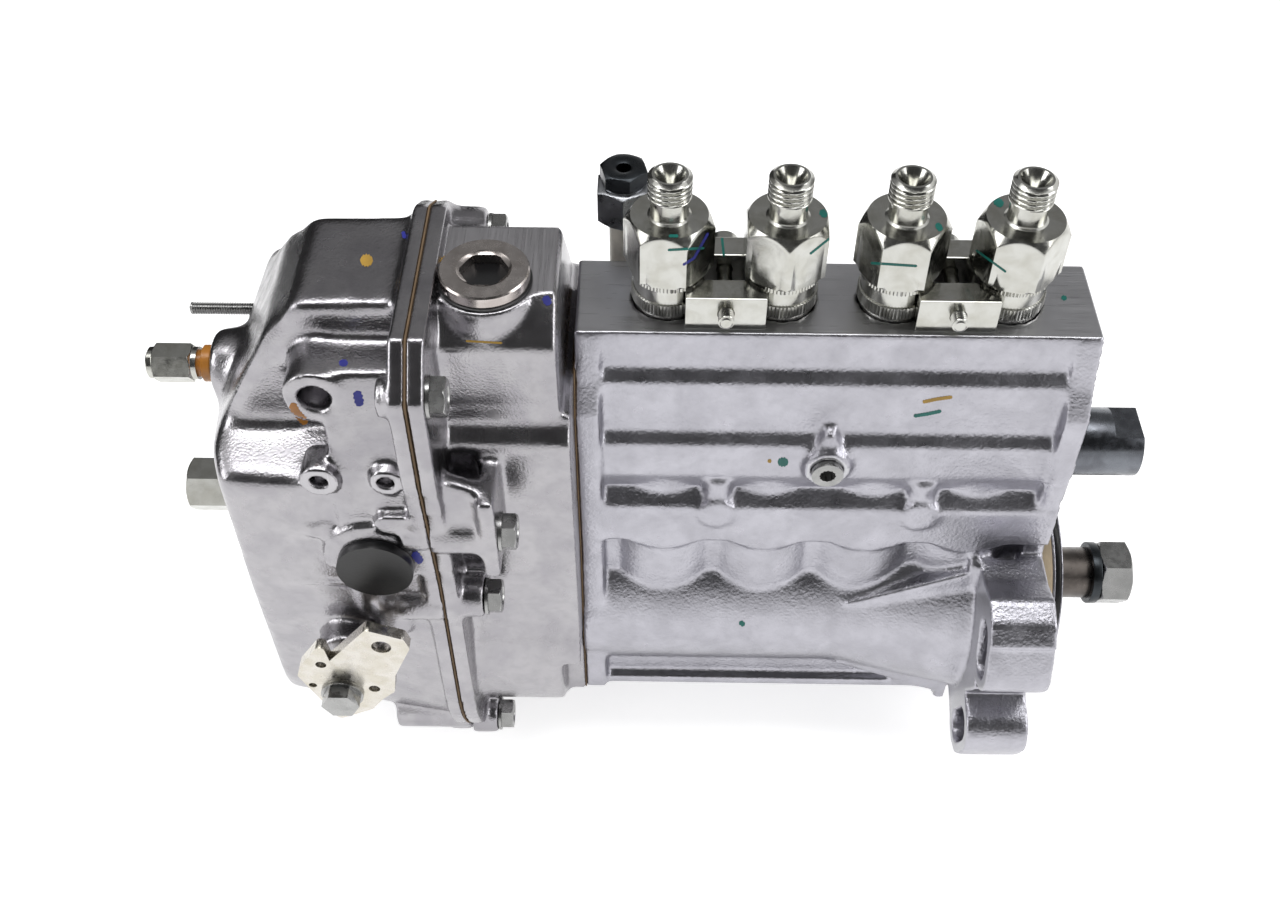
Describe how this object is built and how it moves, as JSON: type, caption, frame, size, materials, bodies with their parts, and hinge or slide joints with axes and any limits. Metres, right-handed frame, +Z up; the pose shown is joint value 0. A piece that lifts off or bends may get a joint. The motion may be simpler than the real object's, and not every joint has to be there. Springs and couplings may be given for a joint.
{
  "type": "in-line diesel injection pump with governor",
  "caption": "In-line diesel injection pump with a mechanical governor, flange-mounted, with upright delivery valve holders and an outside control lever.",
  "frame": {"origin": "camshaft axis in the mounting face of the drive flange", "axes": "+X along the camshaft out of the drive end, +Z up along the pumping elements, -Y to the side of the control rack and control lever"},
  "size_m": [0.3175, 0.1363, 0.2238],
  "materials": {
    "pump_casting": "satin",
    "governor_casting": "satin",
    "machined_steel": "satin",
    "zinc_steel": "satin",
    "hard_steel": "satin",
    "dark_steel": "satin",
    "spring_steel": "satin",
    "black_rubber": "matte",
    "gasket_fibre": "matte",
    "ring_fibre": "matte"
  },
  "bodies": {
    "housing": {"pump_housing": "pump_casting", "governor_housing": "governor_casting", "governor_cover": "governor_casting", "pump_end_gasket": "gasket_fibre", "cover_gasket": "gasket_fibre", "rim_bolts": "zinc_steel", "plunger_barrels": "hard_steel", "spring_seats": "hard_steel", "plunger_springs": "spring_steel", "tappets": "hard_steel", "tappet_rollers": "hard_steel", "delivery_valve_bodies": "hard_steel", "delivery_valves": "hard_steel", "delivery_valve_springs": "spring_steel", "clamp_blocks": "machined_steel", "clamp_screws": "zinc_steel", "bearing_cups": "hard_steel", "pilot_plate": "pump_casting", "pilot_ring": "ring_fibre", "pilot_o_ring": "black_rubber", "shaft_seal": "black_rubber", "rack_end_cap": "zinc_steel", "rack_guide_screw": "machined_steel", "fuel_inlet_fitting": "dark_steel", "inspection_cover": "pump_casting", "feed_pump_cover": "pump_casting", "rear_cover_screws": "zinc_steel", "oil_plug": "zinc_steel", "rubber_plug": "black_rubber", "lever_pins": "hard_steel", "governor_spring": "spring_steel", "idle_spring_capsule": "zinc_steel", "torque_capsule": "machined_steel", "speed_stop_stud": "hard_steel", "delivery_valve_holder_1": "machined_steel", "delivery_valve_holder_2": "machined_steel", "delivery_valve_holder_3": "machined_steel", "delivery_valve_holder_4": "machined_steel"},
    "camshaft": {"camshaft": "hard_steel", "bearing_cones": "hard_steel", "spring_washer": "dark_steel", "shaft_nut": "zinc_steel", "flyweight_carrier": "hard_steel"},
    "rack": {"control_rack": "hard_steel"},
    "flyweight_1": {"flyweight_1": "hard_steel"},
    "flyweight_2": {"flyweight_2": "hard_steel"},
    "governor_sleeve": {"governor_sleeve": "hard_steel"},
    "tension_lever": {"tension_lever": "hard_steel"},
    "fulcrum_lever": {"fulcrum_lever": "hard_steel"},
    "control_lever": {"control_lever_shaft": "hard_steel", "control_lever": "zinc_steel", "control_lever_bolt": "zinc_steel"},
    "element_1": {"control_sleeve_1": "machined_steel", "plunger_1": "hard_steel"},
    "element_2": {"control_sleeve_2": "machined_steel", "plunger_2": "hard_steel"},
    "element_3": {"control_sleeve_3": "machined_steel", "plunger_3": "hard_steel"},
    "element_4": {"control_sleeve_4": "machined_steel", "plunger_4": "hard_steel"}
  },
  "joints": [
    {"name": "camshaft_spin", "type": "hinge", "parent": "housing", "child": "camshaft", "pos_m": [0, 0, 0], "axis": [1, 0, 0], "continuous": true},
    {"name": "rack_slide", "type": "slide", "parent": "housing", "child": "rack", "axis": [1, 0, 0], "range_m": [-0.0095, 0.0095]},
    {"name": "governor_sleeve_slide", "type": "slide", "parent": "housing", "child": "governor_sleeve", "axis": [1, 0, 0], "range_m": [-0.0019, 0.0019]},
    {"name": "flyweight_1_swing", "type": "hinge", "parent": "camshaft", "child": "flyweight_1", "pos_m": [-0.163, 0.021, 0], "axis": [0, 0, 1], "range_deg": [-9.9, 9.9]},
    {"name": "flyweight_2_swing", "type": "hinge", "parent": "camshaft", "child": "flyweight_2", "pos_m": [-0.163, -0.021, 0], "axis": [0, 0, -1], "range_deg": [-9.9, 9.9]},
    {"name": "tension_lever_swing", "type": "hinge", "parent": "housing", "child": "tension_lever", "pos_m": [-0.192, 0, 0.1], "axis": [0, 1, 0], "range_deg": [-1.1, 1.1]},
    {"name": "fulcrum_lever_swing", "type": "hinge", "parent": "housing", "child": "fulcrum_lever", "pos_m": [-0.1962, -0.0124, 0.012], "axis": [0, 1, 0], "range_deg": [-7.9, 7.9]},
    {"name": "control_lever_swing", "type": "hinge", "parent": "housing", "child": "control_lever", "pos_m": [-0.2185, 0, 0.028], "axis": [0, 1, 0], "range_deg": [-30, 0], "deforming": ["governor_spring"]},
    {"name": "element_1_turn", "type": "hinge", "parent": "housing", "child": "element_1", "pos_m": [-0.0257, 0, 0.081], "axis": [0, 0, 1], "range_deg": [-66, 66]},
    {"name": "element_2_turn", "type": "hinge", "parent": "housing", "child": "element_2", "pos_m": [-0.0577, 0, 0.081], "axis": [0, 0, 1], "range_deg": [-66, 66]},
    {"name": "element_3_turn", "type": "hinge", "parent": "housing", "child": "element_3", "pos_m": [-0.0897, 0, 0.081], "axis": [0, 0, 1], "range_deg": [-66, 66]},
    {"name": "element_4_turn", "type": "hinge", "parent": "housing", "child": "element_4", "pos_m": [-0.1217, 0, 0.081], "axis": [0, 0, 1], "range_deg": [-66, 66]}
  ],
  "couplings": [
    {"joint": "governor_sleeve_slide", "follows": "rack_slide", "ratio": 0.2},
    {"joint": "flyweight_1_swing", "follows": "rack_slide", "rad_per_m": 18.18},
    {"joint": "flyweight_2_swing", "follows": "rack_slide", "rad_per_m": 18.18},
    {"joint": "tension_lever_swing", "follows": "rack_slide", "rad_per_m": -2},
    {"joint": "fulcrum_lever_swing", "follows": "rack_slide", "rad_per_m": 14.49},
    {"joint": "element_1_turn", "follows": "rack_slide", "rad_per_m": 121.21},
    {"joint": "element_2_turn", "follows": "rack_slide", "rad_per_m": 121.21},
    {"joint": "element_3_turn", "follows": "rack_slide", "rad_per_m": 121.21},
    {"joint": "element_4_turn", "follows": "rack_slide", "rad_per_m": 121.21}
  ]
}
